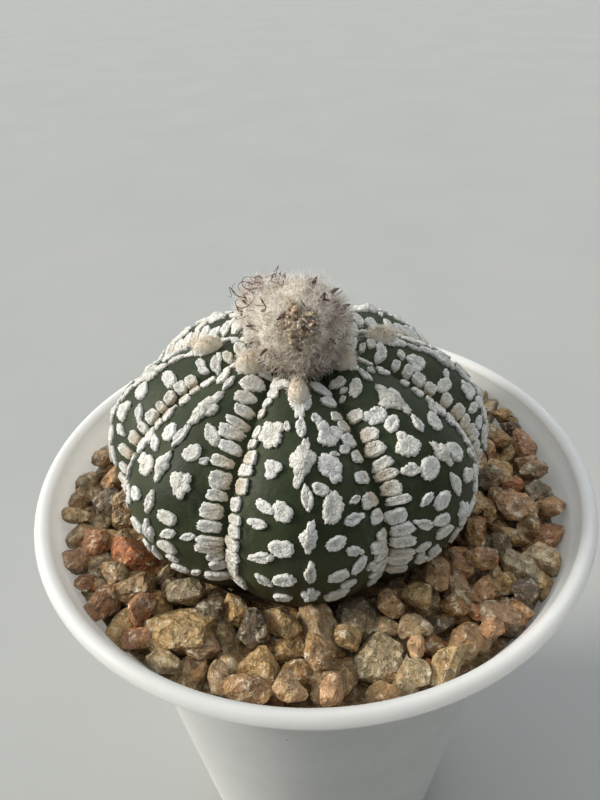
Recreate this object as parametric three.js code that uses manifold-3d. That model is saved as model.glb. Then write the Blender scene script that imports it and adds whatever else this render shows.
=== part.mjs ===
// Star cactus with two woolly buds, in a white pot topped with granite grit
// Millimetres, +Z up, origin at the middle of the pot's underside, the buds' side facing -Y
import * as THREE from "three";
import { mergeVertices } from "three/addons/utils/BufferGeometryUtils.js";
import Module from "manifold-3d";

// Pot
const RIM_RADIUS = 45;
const RIM_BEAD = 2.4;
const POT_HEIGHT = 95;
const POT_WALL = 1.2;
const POT_FLOOR = 1.8;
const WAIST_DEPTH = 19;
const WAIST_RADIUS = 34.7;
const BASE_RADIUS = 27;
const FLARE = 6.6;
const FLARE_POWER = 1.7;
const FLARE_STEPS = 4;
const FOOT_ROUND = 1.6;
const POT_SEGMENTS = 48;
const SOIL_SEGMENTS = 24;
const DRAIN_COUNT = 6;
const DRAIN_RADIUS = 2.6;
const DRAIN_CIRCLE = 16;

// The rim's plane is the middle of the rolled bead, and heights below are measured from it
const RIM_Z = POT_HEIGHT - RIM_BEAD / 2;
const SEAT_GAP = 0.3;
const SHORTEST_EDGE = 0.01;

// Plant
const PLANT_X = -2;
const RIBS = 8;
const FRONT_RIB = THREE.MathUtils.degToRad(-88);
const RIB_STEP = (2 * Math.PI) / RIBS;
const STEPS_PER_RIB = 4;
const FURROW_DEPTH = 2.7;
const FURROW_SHARPNESS = 0.72;
// Crest of a rib as radius and height above the rim's plane, from the root's tip to the crown
const CREST_POINTS = [
  [0, -25.6], [3, -24.1], [6, -17.6], [12, -11.6], [22, -7.4], [27.2, -1.4], [29.9, 6.9],
  [28.2, 13.6], [23.2, 19], [16, 22.8], [9, 24.6], [4, 23.8], [0, 23],
];
const BODY_LEVELS = 14;

// Felt flecks: rows down each rib, and half sizes across and along it. Aside and lower are a
// fleck's place from the crest and below its row, least is the least reach of a ragged corner
const FIRST_ROW = 8.6;
const ROW_PITCH = 4.8;
const ROW_COUNT = 8;
const FLECK_ROOT = 0.7;
const BUD_CLEARANCE = 1.6;
const PATCH = { corners: 4, least: 0.75, tilt: 0, height: 0.55, taper: 0.9 };
const NUB = { ...PATCH, across: 1.6, along: 2.1, least: 0.9, height: 1.6, taper: 0.5 };
const AREOLE = { ...PATCH, across: 1.8, along: 2.6, least: 0.9, height: 1, taper: 0.5 };
const CREST_OVAL = { ...PATCH, across: 1, along: 1.7 };
const INNER_PATCH = { ...PATCH, across: 1.8, along: 1.75, aside: 3.5, lower: 1.2, narrowestRib: 4 };
const OUTER_PATCH = { ...PATCH, across: 1.4, along: 1.3, aside: 6, lower: 3, narrowestRib: 8.9 };
const FURROW_BAR = { ...PATCH, across: 1.5, along: 1.7, least: 0.95, tilt: Math.PI / 4, inset: 1.9 };
const WIDE_HALF_RIB = 11;

// Gravel
const GRAVEL_LEVEL = -3.6;
const GRAVEL_DEPTH = 3.6;
const HEAP_TOP_DEPTH = 0.2;
const STONE_COUNT = 58;
const STONE_MIN = 2.5;
const STONE_MAX = 3.5;
const STONE_SPACING = 0.9;
const STONE_TRIES = 9000;
const FOOT_RADIUS = 26.5;

// Buds, as centres above the rim's plane and radii
const FRONT_BUD = { centre: new THREE.Vector3(-1, -5.6, 29.6), radius: 7, scales: 34 };
const REAR_BUD = { centre: new THREE.Vector3(-5.4, 3.6, 28), radius: 5.1, scales: 18 };
const SCALE_LENGTH = 1.5;
const SCALE_RADIUS = 0.8;
const SCALE_ROOT = 1.2;
const FLOWER_RADIUS = 2.2;
const FLOWER_LENGTH = 3.2;
const FLOWER_FOLDS = 10;
const FLOWER_DIRECTION = new THREE.Vector3(0.06, -0.82, 0.56).normalize();

const wasm = await Module();
wasm.setup();

// A small repeatable random source
function seededRandom(seed) {
  let state = seed >>> 0;
  return () => {
    state = (state + 0x6d2b79f5) >>> 0;
    let mixed = state;
    mixed = Math.imul(mixed ^ (mixed >>> 15), mixed | 1);
    mixed ^= mixed + Math.imul(mixed ^ (mixed >>> 7), mixed | 61);
    return ((mixed ^ (mixed >>> 14)) >>> 0) / 4294967296;
  };
}

function between(random, low, high) {
  return low + (high - low) * random();
}

function withMergedCorners(source) {
  const bare = source.clone();
  bare.deleteAttribute("normal");
  bare.deleteAttribute("uv");
  return mergeVertices(bare, 1e-4);
}

// A closed geometry as a solid with its faces pointing out
function solidOf(source) {
  const merged = withMergedCorners(source);
  const points = merged.attributes.position.array;
  const corners = [];
  const order = merged.index.array;
  let volume = 0;
  const a = new THREE.Vector3();
  const b = new THREE.Vector3();
  const c = new THREE.Vector3();
  for (let i = 0; i < order.length; i += 3) {
    const [p, q, r] = [order[i], order[i + 1], order[i + 2]];
    if (p === q || q === r || r === p) continue;
    corners.push(p, q, r);
    a.fromArray(points, 3 * p);
    b.fromArray(points, 3 * q);
    c.fromArray(points, 3 * r);
    volume += a.dot(b.cross(c));
  }
  if (volume < 0) corners.reverse();
  const mesh = new wasm.Mesh({
    numProp: 3,
    vertProperties: new Float32Array(points),
    triVerts: new Uint32Array(corners),
  });
  return new wasm.Manifold(mesh);
}

// The corners that share a face with one corner
function neighboursOf(corner, faces) {
  return new Set(faces.flat().filter((other) => other !== corner));
}

// Joins the ends of edges too short to matter, where that leaves the surface closed
function withoutShortEdges(points, faces, shortest) {
  const around = new Map();
  faces.forEach((face) => face.forEach((corner) => {
    if (!around.has(corner)) around.set(corner, new Set());
    around.get(corner).add(face);
  }));
  const length = (p, q) => Math.hypot(...[0, 1, 2].map((k) => points[3 * p + k] - points[3 * q + k]));
  faces.forEach((face) => {
    for (let k = 0; k < 3; k += 1) {
      const [keep, drop] = [face[k], face[(k + 1) % 3]];
      if (keep === drop || face.gone || length(keep, drop) > shortest) continue;
      const keepFaces = [...around.get(keep)];
      const dropFaces = [...around.get(drop)];
      const near = neighboursOf(drop, dropFaces);
      const shared = [...neighboursOf(keep, keepFaces)].filter((corner) => near.has(corner));
      if (shared.length !== 2) continue;
      dropFaces.forEach((other) => {
        if (other.includes(keep)) {
          other.gone = true;
          other.forEach((corner) => around.get(corner).delete(other));
        } else {
          other[other.indexOf(drop)] = keep;
          around.get(keep).add(other);
        }
      });
      break;
    }
  });
  return faces.filter((face) => !face.gone);
}

function geometryOf(solid) {
  const mesh = solid.getMesh();
  const order = Array.from(mesh.triVerts);
  const faces = [];
  for (let i = 0; i < order.length; i += 3) faces.push(order.slice(i, i + 3));
  const kept = withoutShortEdges(mesh.vertProperties, faces, SHORTEST_EDGE);
  const geometry = new THREE.BufferGeometry();
  geometry.setAttribute("position", new THREE.BufferAttribute(mesh.vertProperties, 3));
  geometry.setIndex(kept.flat());
  return geometry;
}

function joinAll(solids) {
  let layer = solids;
  while (layer.length > 1) {
    const next = [];
    for (let i = 0; i < layer.length; i += 2) {
      next.push(i + 1 < layer.length ? layer[i].add(layer[i + 1]) : layer[i]);
    }
    layer = next;
  }
  return layer[0];
}

// A profile of radius and height turned about the upright axis
function revolve(profile, segments) {
  const points = profile.map(([radius, height]) => new THREE.Vector2(radius, height));
  const geometry = new THREE.LatheGeometry(points, segments);
  geometry.rotateX(Math.PI / 2);
  return geometry;
}

// Outer radius of the wall at a depth under the rim: a cone, flaring out above its waist
function potWallRadius(depth) {
  const slope = (WAIST_RADIUS - BASE_RADIUS) / (RIM_Z - WAIST_DEPTH);
  const cone = WAIST_RADIUS + slope * (WAIST_DEPTH - depth);
  const share = Math.min(depth / WAIST_DEPTH, 1);
  return cone + FLARE * (1 - share ** FLARE_POWER);
}

// Depths where the flared wall has a corner, from the waist up
function wallDepths(topDepth, bottomDepth) {
  const depths = [];
  const shortest = 0.5;
  for (let i = FLARE_STEPS; i > 0; i -= 1) {
    const depth = (WAIST_DEPTH * i) / FLARE_STEPS;
    if (depth > topDepth + shortest && depth < bottomDepth - shortest) depths.push(depth);
  }
  return [...depths, topDepth];
}

// The space inside the pot between two heights, kept clear of the wall by a gap
function cavityProfile(topDepth, bottomZ, gap) {
  const inset = POT_WALL + gap;
  const wall = wallDepths(topDepth, RIM_Z - bottomZ)
    .map((depth) => [potWallRadius(depth) - inset, RIM_Z - depth]);
  const floorRadius = potWallRadius(RIM_Z - bottomZ) - inset;
  return [[0, bottomZ], [floorRadius, bottomZ], ...wall, [0, RIM_Z - topDepth]];
}

function potProfile() {
  const beadRadius = RIM_BEAD / 2;
  const depths = wallDepths(RIM_BEAD * 0.8, RIM_Z);
  const bead = [];
  for (let degrees = -40; degrees <= 200; degrees += 40) {
    const turn = THREE.MathUtils.degToRad(degrees);
    bead.push([
      RIM_RADIUS - beadRadius + beadRadius * Math.cos(turn),
      RIM_Z + beadRadius * Math.sin(turn),
    ]);
  }
  const outer = depths.map((depth) => [potWallRadius(depth), RIM_Z - depth]);
  const inner = [...depths].reverse().map((depth) => [potWallRadius(depth) - POT_WALL, RIM_Z - depth]);
  return [
    [0, 0], [BASE_RADIUS - FOOT_ROUND, 0], [BASE_RADIUS, FOOT_ROUND],
    ...outer, ...bead, ...inner,
    [potWallRadius(RIM_Z - POT_FLOOR) - POT_WALL, POT_FLOOR], [0, POT_FLOOR],
  ];
}

function makePot() {
  let pot = solidOf(revolve(potProfile(), POT_SEGMENTS));
  for (let i = 0; i < DRAIN_COUNT; i += 1) {
    const turn = (i * 2 * Math.PI) / DRAIN_COUNT;
    const drain = new THREE.CylinderGeometry(DRAIN_RADIUS, DRAIN_RADIUS, 4 * POT_FLOOR, 8);
    drain.rotateX(Math.PI / 2);
    drain.translate(DRAIN_CIRCLE * Math.cos(turn), DRAIN_CIRCLE * Math.sin(turn), 0);
    pot = pot.subtract(solidOf(drain));
  }
  return pot;
}

// The plant's skin: a crest outline turned about the axis, with a furrow between each two ribs
const crest = new THREE.SplineCurve(CREST_POINTS.map((point) => new THREE.Vector2(...point)));
const CREST_LENGTH = crest.getLength();

// The level at which the crest, below its widest place, has a height
function levelAtHeight(height) {
  let low = 0;
  let high = 0.5;
  for (let i = 0; i < 24; i += 1) {
    const middle = (low + high) / 2;
    if (crest.getPointAt(middle).y < height) low = middle;
    else high = middle;
  }
  return low;
}

const SOIL_LINE = levelAtHeight(GRAVEL_LEVEL);

// Furrows begin on the buried neck, are deepest half way up and close at the crown
function furrowDepth(level) {
  const start = 0.7 * SOIL_LINE;
  const share = THREE.MathUtils.clamp((level - start) / (1 - start), 0, 1);
  return FURROW_DEPTH * Math.sin(Math.PI * share) ** 0.55;
}

// A point of the skin at an azimuth and a level from 0 at the root's tip to 1 at the crown
function skinPoint(azimuth, level, lift, target = new THREE.Vector3()) {
  const capped = THREE.MathUtils.clamp(level, 0, 1);
  const place = crest.getPointAt(capped);
  const along = crest.getTangentAt(capped);
  const ridge = Math.abs(Math.cos(((azimuth - FRONT_RIB) * RIBS) / 2)) ** FURROW_SHARPNESS;
  const out = lift - furrowDepth(capped) * (1 - ridge);
  const radius = Math.max(place.x + along.y * out, 0);
  const height = place.y - along.x * out;
  return target.set(PLANT_X + radius * Math.cos(azimuth), radius * Math.sin(azimuth), RIM_Z + height);
}

function skinGeometry(lift) {
  const around = RIBS * STEPS_PER_RIB;
  const levels = [];
  for (let j = 0; j <= BODY_LEVELS; j += 1) levels.push(j / BODY_LEVELS);
  const geometry = new THREE.LatheGeometry(levels.map((level) => new THREE.Vector2(1, level)), around);
  const positions = geometry.attributes.position;
  const point = new THREE.Vector3();
  for (let i = 0; i <= around; i += 1) {
    const azimuth = FRONT_RIB + ((i % around) * 2 * Math.PI) / around;
    levels.forEach((level, j) => {
      skinPoint(azimuth, level, lift, point);
      if (j === 0 || j === BODY_LEVELS) {
        const tip = crest.getPointAt(level).y + (j === 0 ? -lift : lift);
        point.set(PLANT_X, 0, RIM_Z + tip);
      }
      positions.setXYZ(i * levels.length + j, point.x, point.y, point.z);
    });
  }
  return geometry;
}

// One raised fleck: a low plate bent to the skin, with its root sunk in
function fleck(azimuth, level, { across, along, tilt, height, taper }, reaches) {
  const outline = reaches.map((reach, i) => {
    const turn = (i * 2 * Math.PI) / reaches.length;
    const edge = new THREE.Vector2(across * reach * Math.cos(turn), along * reach * Math.sin(turn));
    return edge.rotateAround(new THREE.Vector2(), tilt);
  });
  const geometry = new THREE.ExtrudeGeometry(new THREE.Shape(outline), { depth: 1, bevelEnabled: false });
  const positions = geometry.attributes.position;
  const radius = crest.getPointAt(level).x;
  const point = new THREE.Vector3();
  for (let i = 0; i < positions.count; i += 1) {
    const top = positions.getZ(i) > 0.5;
    const share = top ? taper : 1;
    const aside = (positions.getX(i) * share) / radius;
    const up = (positions.getY(i) * share) / CREST_LENGTH;
    skinPoint(azimuth + aside, level + up, top ? height : -FLECK_ROOT, point);
    positions.setXYZ(i, point.x, point.y, point.z);
  }
  return solidOf(geometry);
}

// Which of the evenly spaced corners of a ring lies at a turn
function cornerIndex(turn, count) {
  return (Math.round((turn / (2 * Math.PI)) * count) + count) % count;
}

// The skin that a bud stands on carries no fleck
function underBud(azimuth, level) {
  const point = skinPoint(azimuth, level, 0);
  return [FRONT_BUD, REAR_BUD].some(({ centre, radius }) => {
    const reach = new THREE.Vector3(centre.x, centre.y, centre.z + RIM_Z).distanceTo(point);
    return reach < radius + BUD_CLEARANCE;
  });
}

function levelOfRow(row) {
  return 1 - (FIRST_ROW + row * ROW_PITCH) / CREST_LENGTH;
}

function halfRibAt(level) {
  return crest.getPointAt(level).x * (RIB_STEP / 2);
}

// Areoles stand on every second row of a rib, a row further down on each second rib
function hasAreole(rib, row) {
  return (rib + row) % 2 === 1;
}

// The thick woolly areole nearest the crown, swelled to cut its room out of a bud
function nub(rib, swell) {
  const level = levelOfRow(hasAreole(rib, 0) ? 0 : 1);
  const shape = {
    ...NUB, across: NUB.across + swell, along: NUB.along + swell, height: NUB.height + swell,
  };
  return fleck(FRONT_RIB + rib * RIB_STEP, level, shape, [1, 1, 1, 1]);
}

// Flecks of one rib: a crest row, inner and outer pairs, and bars along both furrows
function ribFlecks(rib) {
  const random = seededRandom(101 + rib);
  const flecks = [nub(rib, 0)];
  const nubRow = hasAreole(rib, 0) ? 0 : 1;
  const put = (aside, level, kind) => {
    const azimuth = FRONT_RIB + rib * RIB_STEP + aside / crest.getPointAt(level).x;
    const reaches = Array.from({ length: kind.corners }, () => between(random, kind.least, 1.08));
    if (!underBud(azimuth, level)) flecks.push(fleck(azimuth, level, kind, reaches));
  };
  for (let row = 0; row < ROW_COUNT; row += 1) {
    const level = levelOfRow(row);
    const halfRib = halfRibAt(level);
    if (row !== nubRow) put(0, level, hasAreole(rib, row) ? AREOLE : CREST_OVAL);
    for (const side of [-1, 1]) {
      const innerLevel = level - (INNER_PATCH.lower + between(random, -0.4, 0.4)) / CREST_LENGTH;
      const tilt = between(random, -0.6, 0.6);
      const corners = halfRib > WIDE_HALF_RIB ? 5 : 4;
      if (halfRib > INNER_PATCH.narrowestRib) {
        const aside = Math.min(INNER_PATCH.aside, 0.5 * halfRib);
        put(side * aside, innerLevel, { ...INNER_PATCH, corners, tilt });
      }
      if (halfRib > OUTER_PATCH.narrowestRib) {
        put(side * OUTER_PATCH.aside, level - OUTER_PATCH.lower / CREST_LENGTH, OUTER_PATCH);
      }
      const barLevel = level - (0.5 * ROW_PITCH) / CREST_LENGTH;
      const share = Math.min(1, halfRibAt(barLevel) / WIDE_HALF_RIB);
      const bar = { ...FURROW_BAR, across: FURROW_BAR.across * share, along: FURROW_BAR.along * share };
      if (row < ROW_COUNT - 1) put(side * (halfRibAt(barLevel) - FURROW_BAR.inset * share), barLevel, bar);
    }
  }
  return flecks;
}

function makeCactus() {
  const skin = solidOf(skinGeometry(0));
  const flecks = [];
  for (let rib = 0; rib < RIBS; rib += 1) flecks.push(...ribFlecks(rib));
  return skin.add(joinAll(flecks));
}

// One rough angular stone
function stone(random, x, y, z, size) {
  const geometry = withMergedCorners(new THREE.BoxGeometry(1.5, 1.5, 1.5));
  const positions = geometry.attributes.position;
  for (let i = 0; i < positions.count; i += 1) {
    const [a, b, c] = [between(random, 0.65, 1.1), between(random, 0.65, 1.1), between(random, 0.7, 1.05)];
    positions.setXYZ(i, positions.getX(i) * a, positions.getY(i) * b, positions.getZ(i) * c);
  }
  const spread = between(random, 0.85, 1.15);
  geometry.scale(size * spread, size / spread, size * between(random, 0.8, 1));
  geometry.rotateX(between(random, -0.5, 0.5));
  geometry.rotateY(between(random, -0.5, 0.5));
  geometry.rotateZ(between(random, 0, 2 * Math.PI));
  geometry.translate(x, y, z);
  return solidOf(geometry);
}

// Stones are thrown at random and kept where they lie far enough from those already down
function stonePlaces() {
  const random = seededRandom(7);
  const places = [];
  const outer = potWallRadius(-GRAVEL_LEVEL) - POT_WALL;
  const inner = FOOT_RADIUS - Math.abs(PLANT_X) - STONE_MIN;
  for (let tries = 0; tries < STONE_TRIES && places.length < STONE_COUNT; tries += 1) {
    const size = between(random, STONE_MIN, STONE_MAX);
    const turn = between(random, 0, 2 * Math.PI);
    const reach = Math.sqrt(between(random, inner ** 2, (outer - size * 0.9) ** 2));
    const x = reach * Math.cos(turn);
    const y = reach * Math.sin(turn);
    if (Math.hypot(x - PLANT_X, y) < FOOT_RADIUS + size * 0.6) continue;
    const clear = places.every((other) => (
      Math.hypot(other.x - x, other.y - y) > STONE_SPACING * (other.size + size)
    ));
    if (clear) places.push({ x, y, size, lift: between(random, 0.2, 1.1) });
  }
  return { places, random };
}

function makeGravel() {
  const { places, random } = stonePlaces();
  const bottom = RIM_Z + GRAVEL_LEVEL - GRAVEL_DEPTH;
  const bed = solidOf(revolve(cavityProfile(-GRAVEL_LEVEL, bottom, SEAT_GAP), POT_SEGMENTS));
  const room = solidOf(revolve(cavityProfile(HEAP_TOP_DEPTH, bottom, SEAT_GAP), POT_SEGMENTS));
  const stones = places.map(({ x, y, size, lift }) => stone(random, x, y, RIM_Z + GRAVEL_LEVEL + lift, size));
  const heap = bed.add(joinAll(stones)).intersect(room);
  return heap.subtract(solidOf(skinGeometry(AREOLE.height + SEAT_GAP)));
}

function makeSoil() {
  const top = -GRAVEL_LEVEL + GRAVEL_DEPTH + SEAT_GAP;
  const soil = solidOf(revolve(cavityProfile(top, POT_FLOOR + SEAT_GAP, SEAT_GAP), SOIL_SEGMENTS));
  return soil.subtract(solidOf(skinGeometry(SEAT_GAP)));
}

// A point on a unit ball by the golden-angle rule, from the top down
function ballDirection(index, count) {
  const height = 1 - (2 * (index + 0.5)) / count;
  const turn = index * Math.PI * (3 - Math.sqrt(5));
  const flat = Math.sqrt(1 - height * height);
  return new THREE.Vector3(flat * Math.cos(turn), flat * Math.sin(turn), height);
}

// A woolly ball with pointed scale tips, and none where the neighbouring bud lies against it
function makeBud({ centre, radius, scales }, neighbour, seed) {
  const random = seededRandom(seed);
  const ball = withMergedCorners(new THREE.IcosahedronGeometry(radius, 2));
  const positions = ball.attributes.position;
  for (let i = 0; i < positions.count; i += 1) {
    const push = between(random, 0.95, 1.04);
    positions.setXYZ(i, positions.getX(i) * push, positions.getY(i) * push, positions.getZ(i) * push);
  }
  const place = new THREE.Vector3(centre.x, centre.y, centre.z + RIM_Z);
  ball.translate(place.x, place.y, place.z);
  const pieces = [solidOf(ball)];
  const up = new THREE.Vector3(0, 1, 0);
  for (let i = 0; i < scales; i += 1) {
    const direction = ballDirection(i, scales);
    const tip = direction.clone().multiplyScalar(radius + SCALE_LENGTH).add(centre);
    if (tip.distanceTo(neighbour.centre) < neighbour.radius + SCALE_LENGTH) continue;
    const cone = new THREE.ConeGeometry(SCALE_RADIUS, SCALE_LENGTH + SCALE_ROOT, 3);
    cone.applyQuaternion(new THREE.Quaternion().setFromUnitVectors(up, direction));
    const middle = direction.clone().multiplyScalar(radius + (SCALE_LENGTH - SCALE_ROOT) / 2).add(place);
    cone.translate(middle.x, middle.y, middle.z);
    pieces.push(solidOf(cone));
  }
  return joinAll(pieces);
}

// The withered flower: a crumpled trumpet leaning out of the front bud, swelled to cut its seat
function makeFlower(swell) {
  const random = seededRandom(33);
  const folds = Array.from({ length: FLOWER_FOLDS }, () => between(random, 0.72, 1.15));
  const profile = [[0, -0.5], [0.45, -0.4], [0.6, 0], [1, 0.42], [0.75, 0.62], [0.3, 0.45], [0, 0.4]];
  const points = profile.map(([radius, height]) => [radius * FLOWER_RADIUS, height * FLOWER_LENGTH]);
  const geometry = revolve(points, FLOWER_FOLDS);
  const positions = geometry.attributes.position;
  for (let i = 0; i < positions.count; i += 1) {
    const [x, y, z] = [positions.getX(i), positions.getY(i), positions.getZ(i)];
    const reach = Math.hypot(x, y);
    const spread = reach < 1e-6 ? 0 : folds[cornerIndex(Math.atan2(x, -y), FLOWER_FOLDS)] + swell / reach;
    positions.setXYZ(i, x * spread, y * spread, z < -0.3 * FLOWER_LENGTH ? z - swell : z);
  }
  const seat = FLOWER_DIRECTION.clone().multiplyScalar(FRONT_BUD.radius).add(FRONT_BUD.centre);
  const turn = new THREE.Quaternion().setFromUnitVectors(new THREE.Vector3(0, 0, 1), FLOWER_DIRECTION);
  geometry.applyQuaternion(turn);
  geometry.translate(seat.x, seat.y, seat.z + RIM_Z);
  return solidOf(geometry);
}

const nubRooms = Array.from({ length: RIBS }, (_, rib) => nub(rib, SEAT_GAP));
const cactusClearance = solidOf(skinGeometry(SEAT_GAP)).add(joinAll(nubRooms));
const rearBud = makeBud(REAR_BUD, FRONT_BUD, 21).subtract(cactusClearance);
const rearRoom = makeBud({ ...REAR_BUD, radius: REAR_BUD.radius + SEAT_GAP, scales: 0 }, FRONT_BUD, 21);
const frontBud = makeBud(FRONT_BUD, REAR_BUD, 20).subtract(cactusClearance).subtract(rearRoom)
  .subtract(makeFlower(SEAT_GAP));

function named(name, solid, color, roughness) {
  const material = new THREE.MeshStandardMaterial({ color, roughness, metalness: 0, flatShading: true });
  const mesh = new THREE.Mesh(geometryOf(solid), material);
  mesh.name = name;
  return mesh;
}

const cactus = new THREE.Group();
cactus.add(named("pot", makePot(), 0xf1f1ee, 0.35));
cactus.add(named("potting_soil", makeSoil(), 0x3b2d22, 0.95));
cactus.add(named("gravel_topping", makeGravel(), 0xa9784f, 0.85));
cactus.add(named("cactus_body", makeCactus(), 0x4a5a3c, 0.7));
cactus.add(named("woolly_bud_front", frontBud, 0xcdbfae, 1));
cactus.add(named("woolly_bud_rear", rearBud, 0xd3c7b8, 1));
cactus.add(named("dried_flower", makeFlower(0), 0xb98a5a, 0.9));

export default cactus;
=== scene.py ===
import math
from types import SimpleNamespace

import bmesh
import bpy
import numpy as np
from mathutils import Matrix, Quaternion, Vector, noise


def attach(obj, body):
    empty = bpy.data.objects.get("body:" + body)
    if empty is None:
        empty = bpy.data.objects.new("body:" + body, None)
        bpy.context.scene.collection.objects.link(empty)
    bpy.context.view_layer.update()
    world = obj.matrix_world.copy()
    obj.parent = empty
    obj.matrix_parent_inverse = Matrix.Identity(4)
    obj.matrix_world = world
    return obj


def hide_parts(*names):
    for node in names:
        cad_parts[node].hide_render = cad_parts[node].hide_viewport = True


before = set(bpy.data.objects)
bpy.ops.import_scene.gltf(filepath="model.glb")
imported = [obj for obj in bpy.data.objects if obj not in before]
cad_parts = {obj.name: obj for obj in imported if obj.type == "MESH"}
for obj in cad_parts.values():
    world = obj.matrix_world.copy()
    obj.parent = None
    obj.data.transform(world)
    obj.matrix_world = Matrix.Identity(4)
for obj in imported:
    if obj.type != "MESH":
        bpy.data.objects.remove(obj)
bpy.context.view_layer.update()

# All sizes below are millimetres in the part's frame, and MM turns them into metres
MM = 0.001

# Pot
RIM_RADIUS = 45
RIM_BEAD = 2.4
POT_HEIGHT = 95
POT_WALL = 1.2
POT_FLOOR = 1.8
WAIST_DEPTH = 19
WAIST_RADIUS = 34.7
BASE_RADIUS = 27
FLARE = 6.6
FLARE_POWER = 1.7
FOOT_ROUND = 1.6
DRAIN_COUNT = 6
DRAIN_RADIUS = 2.6
DRAIN_CIRCLE = 16
RIM_Z = POT_HEIGHT - RIM_BEAD / 2

# Plant
PLANT_X = -2
RIBS = 8
FRONT_RIB = math.radians(-88)
RIB_STEP = 2 * math.pi / RIBS
FURROW_DEPTH = 2.7
FURROW_SHARPNESS = 0.72
GRAVEL_LEVEL = -3.6
GRAVEL_FLOOR = -7.2
# Crest of a rib as radius and height above the rim's plane, from the root's tip to the crown
CREST_POINTS = np.array([
    (0, -25.6), (3, -24.1), (6, -17.6), (12, -11.6), (22, -7.4), (27.2, -1.4), (29.9, 6.9),
    (28.2, 13.6), (23.2, 19), (16, 22.8), (9, 24.6), (4, 23.8), (0, 23),
], float)

# Rows of flecks, as distances down a rib's crest from the crown
FIRST_ROW = 8.6
ROW_PITCH = 4.8
ROW_COUNT = 8
FIRST_BAR = 14
LAST_BAR = 45
# Half the width of a wide rib, then half sizes and heights of the woolly areoles
WIDE_HALF = 7.4
NUB_SIZE = (1.35, 2.2, 1.9)
BIG_NUB_SIZE = (1.8, 1.9, 2.2)

# Loose pebbles: how many are dropped, the places that each one tries, their radii, and the ring
PEBBLES = 470
TRIES = 70
USUAL_PEBBLE = 2.45
PEBBLE_SPREAD = 0.33
PEBBLE_LIMITS = (1.4, 4.5)
BIG_PEBBLE = 2.75
PEBBLE_RING = (21, 40.5)

# Buds: wool with its hairs, tufts and a darker side, then scales, and bristles with their side. The front
# bud's darker side, away from the sun, is painted shade; the rear bud's darker top is the wool's own tone
FRONT_BUD = SimpleNamespace(
    name="bud_front", centre=np.array([-1, -5.6, RIM_Z + 29.6]), radius=7.0, hairs=8000, tufts=230,
    wool_seed=61, shade_and_tone_side=(0.4, -0.22, -0.08), scales=40, bristles=42, bristle_seed=71,
    bristle_side=(0.2, -0.5, 0.1), thickness=0.11, longest=3.7,
)
REAR_BUD = SimpleNamespace(
    name="bud_rear", centre=np.array([-5.4, 3.6, RIM_Z + 28]), radius=5.1, hairs=4200, tufts=130,
    wool_seed=62, shade_and_tone_side=(0.1, -0.2, 0.75), scales=22, bristles=46, bristle_seed=72,
    bristle_side=(-0.15, -0.4, 1.3), thickness=0.17, longest=6.4,
)
FLOWER_DIRECTION = np.array([-0.04, -0.82, 0.56])

# Camera, as the photograph was taken
CAMERA_BACK = 83
CAMERA_HEIGHT = 166.85
CAMERA_PITCH = math.radians(35.59)
CAMERA_YAW = math.radians(-1.10)
CAMERA_ROLL = math.radians(-2.59)
LENS = 29.25
SENSOR = 36

# Light
SUN_STRENGTH = 3.25
SUN_SPREAD = math.radians(20)
TO_SUN = Vector((-0.885, 0.0, 0.465))
BRIGHT_SKY = (-0.03, 0.58, 0.81)
SKY_RANGE = (-0.2, 1.0, 0.06, 1.08)

GOLDEN_ANGLE = math.pi * (3 - math.sqrt(5))


# Shapes gathered into one mesh

def add_object(name, data):
    thing = bpy.data.objects.new(name, data)
    bpy.context.scene.collection.objects.link(thing)
    return thing


class Pile:
    """Many small shapes in one mesh. Each point keeps a tint, which chooses a colour for its
    shape, and a share, which runs along or through it."""

    def __init__(self):
        self.points, self.faces, self.tints, self.shares = [], [], [], []
        self.count = 0

    def add(self, points, faces, tint=0, share=0):
        points = np.asarray(points, float).reshape(-1, 3)
        self.points.append(points)
        for block in faces:
            self.faces.extend((np.asarray(block) + self.count).tolist())
        self.tints.append(np.broadcast_to(tint, len(points)))
        self.shares.append(np.broadcast_to(share, len(points)))
        self.count += len(points)

    def build(self, name, material, slot, replaces=(), smooth=True):
        mesh = bpy.data.meshes.new(name)
        mesh.from_pydata((np.concatenate(self.points) * MM).tolist(), [], self.faces)
        for label, values in (("tint", self.tints), ("share", self.shares)):
            layer = mesh.attributes.new(label, "FLOAT", "POINT")
            layer.data.foreach_set("value", np.concatenate(values).astype(np.float32))
        mesh.polygons.foreach_set("use_smooth", [smooth] * len(mesh.polygons))
        mesh.materials.append(material)
        mesh.update()
        piece = add_object(name, mesh)
        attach(piece, "root")
        for node in replaces:
            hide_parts(node)
        return piece


def grid_faces(rows, columns):
    """Quads of a grid of points whose columns close on themselves."""
    index = np.arange(rows * columns).reshape(rows, columns)
    after = np.roll(index, -1, axis=1)
    return np.stack([index[:-1], after[:-1], after[1:], index[1:]], -1).reshape(-1, 4)


def fan_faces(start, columns, tip):
    """Triangles from a closed ring of points to a tip."""
    ring = start + np.arange(columns)
    return np.stack([ring, np.roll(ring, -1), np.full(columns, tip)], -1)


def capped_faces(rows, columns):
    """Faces of a closed grid whose two end rings meet in the two points after it."""
    count = rows * columns
    foot, top = fan_faces(0, columns, count)[:, ::-1], fan_faces(count - columns, columns, count + 1)
    return [grid_faces(rows, columns), foot, top]


def circle(count):
    """Evenly spaced turns all round."""
    return np.linspace(0, 2 * np.pi, count, endpoint=False)


def polar(radius, turn, height):
    """Points at a radius and a turn about the upright axis."""
    return np.stack(np.broadcast_arrays(radius * np.cos(turn), radius * np.sin(turn), height), -1)


def unit(vectors):
    vectors = np.asarray(vectors, float)
    return vectors / np.maximum(np.linalg.norm(vectors, axis=-1, keepdims=True), 1e-9)


def lumps(points, size, seed, octaves=3):
    """Smooth noise from about -1 to 1 at each point, with lumps of the given size."""
    shift = Vector((seed * 17.3, seed * 5.1, seed * 9.7))
    return np.array([noise.fractal(Vector(point) / size + shift, 1, 2, octaves) for point in points])


# The plant's skin

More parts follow.
